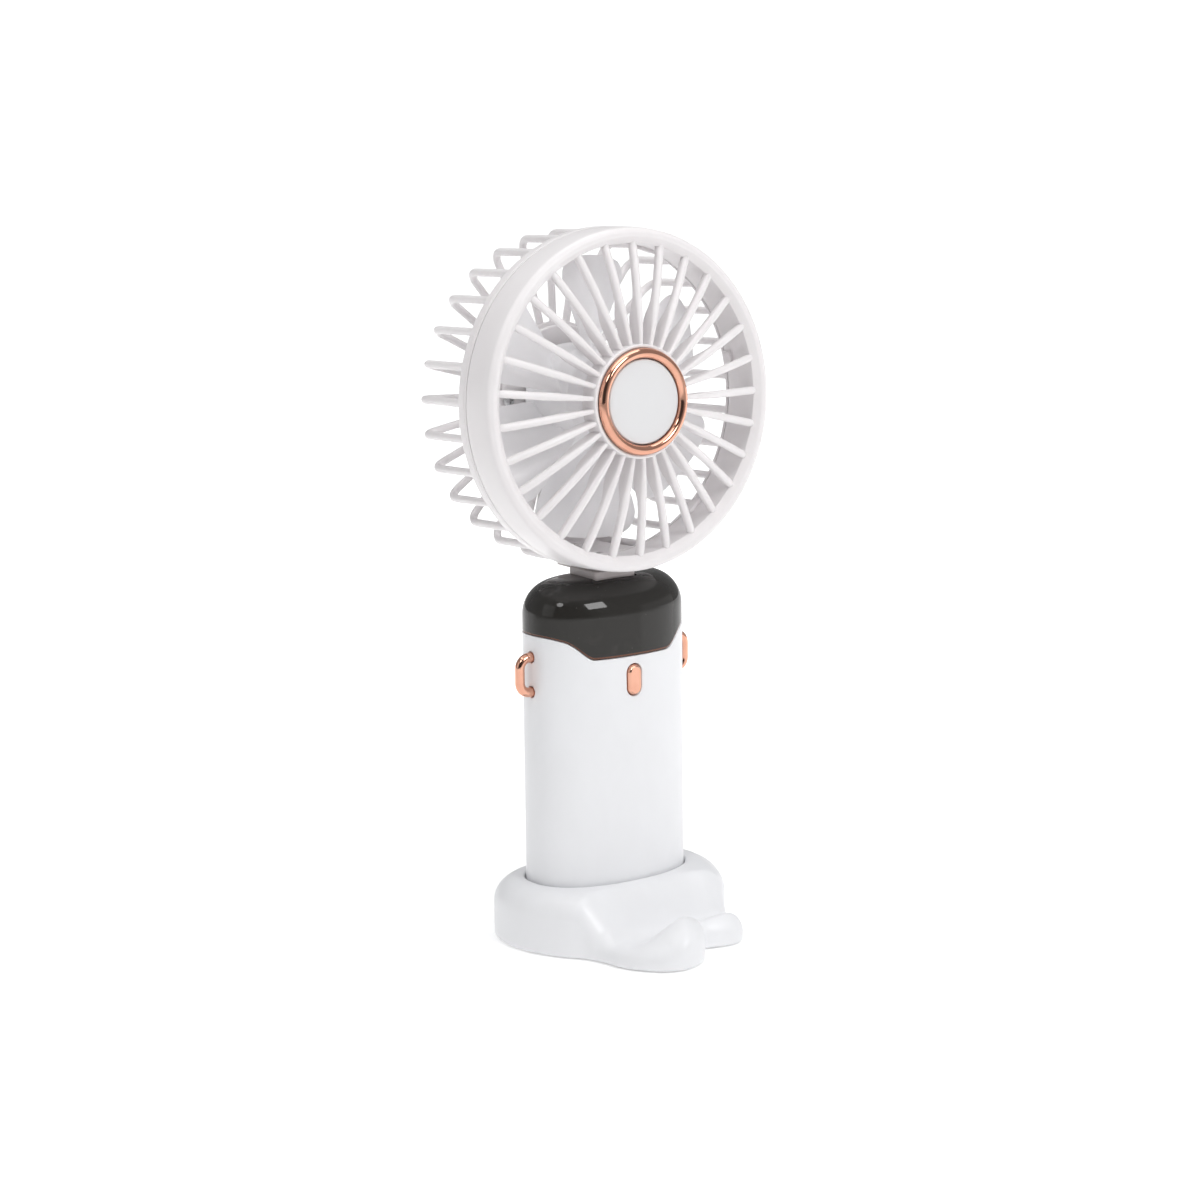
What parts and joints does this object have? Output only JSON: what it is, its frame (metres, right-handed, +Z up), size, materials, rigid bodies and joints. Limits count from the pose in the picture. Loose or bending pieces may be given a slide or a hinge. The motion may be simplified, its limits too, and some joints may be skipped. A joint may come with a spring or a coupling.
{
  "type": "handheld electric fan",
  "caption": "Rechargeable handheld fan with a round grilled head folding back on a flat oval handle, standing in an oval phone-holder stand.",
  "frame": {"origin": "middle of the handle's section, on the surface that the stand rests on", "axes": "+Z up along the handle, the fan blows towards -Y, +X to the right seen from the front"},
  "size_m": [0.096, 0.0745, 0.2031],
  "materials": {
    "shell_white": "fine satin moulding",
    "neck_white": "fine satin moulding",
    "grille_white": "satin moulding",
    "disc_white": "satin",
    "impeller_white": "satin moulding",
    "cap_black": "high gloss",
    "rose_metal": "polished rose gold plating",
    "foot_rubber": "matte",
    "zinc_steel": "zinc plated",
    "black_screw": "black oxide",
    "circuit_board": "solder mask",
    "display_dark": "smoked window",
    "cell_wrap": "shrink wrapped cell",
    "red_lead": "soft insulation",
    "pale_lead": "soft insulation"
  },
  "bodies": {
    "base": {"stand_shell": "shell_white", "stand_plate": "shell_white", "foot_pad": "foot_rubber", "stand_screw_1": "zinc_steel", "stand_screw_2": "zinc_steel", "stand_screw_3": "zinc_steel", "stand_screw_4": "zinc_steel"},
    "handle": {"handle_sleeve": "shell_white", "handle_end_cap": "shell_white", "end_cap_screw_1": "zinc_steel", "end_cap_screw_2": "zinc_steel", "top_cap": "cap_black", "tact_switch": "zinc_steel", "control_board": "circuit_board", "display_module": "display_dark", "battery_pack": "cell_wrap", "charge_board": "circuit_board", "charging_socket": "zinc_steel", "battery_lead": "red_lead", "lanyard_loop_left": "rose_metal", "lanyard_loop_right": "rose_metal", "hinge_bracket": "zinc_steel", "hinge_pin": "zinc_steel", "spring_washer_left": "zinc_steel", "spring_washer_right": "zinc_steel", "pin_clip": "zinc_steel"},
    "button": {"power_button": "rose_metal"},
    "head": {"neck_block": "neck_white", "neck_screw_1": "black_screw", "neck_screw_2": "black_screw", "front_grille": "grille_white", "hub_trim_ring": "rose_metal", "hub_disc": "disc_white", "rear_grille": "grille_white", "motor_mount": "grille_white", "motor_screw_1": "zinc_steel", "motor_screw_2": "zinc_steel", "motor_screw_3": "zinc_steel", "motor_can": "zinc_steel", "motor_bearing_rear": "zinc_steel", "motor_bearing_front": "zinc_steel", "motor_lead": "pale_lead"},
    "rotor": {"impeller": "impeller_white", "motor_shaft": "zinc_steel"}
  },
  "joints": [
    {"name": "handle_lift", "type": "slide", "parent": "base", "child": "handle", "axis": [0, 0, 1], "range_m": [0, 0.03]},
    {"name": "head_fold", "type": "hinge", "parent": "handle", "child": "head", "pos_m": [0, 0.0075, 0.0975], "axis": [-1, 0, 0], "range_deg": [-3, 87]},
    {"name": "button_press", "type": "slide", "parent": "handle", "child": "button", "axis": [0, 1, 0], "range_m": [0, 0.0008], "stiffness_N_per_m": 800, "springref_m": -0.0005},
    {"name": "rotor_spin", "type": "hinge", "parent": "head", "child": "rotor", "pos_m": [0, 0, 0.15443], "axis": [0, -0.9986, 0.0527], "continuous": true}
  ]
}
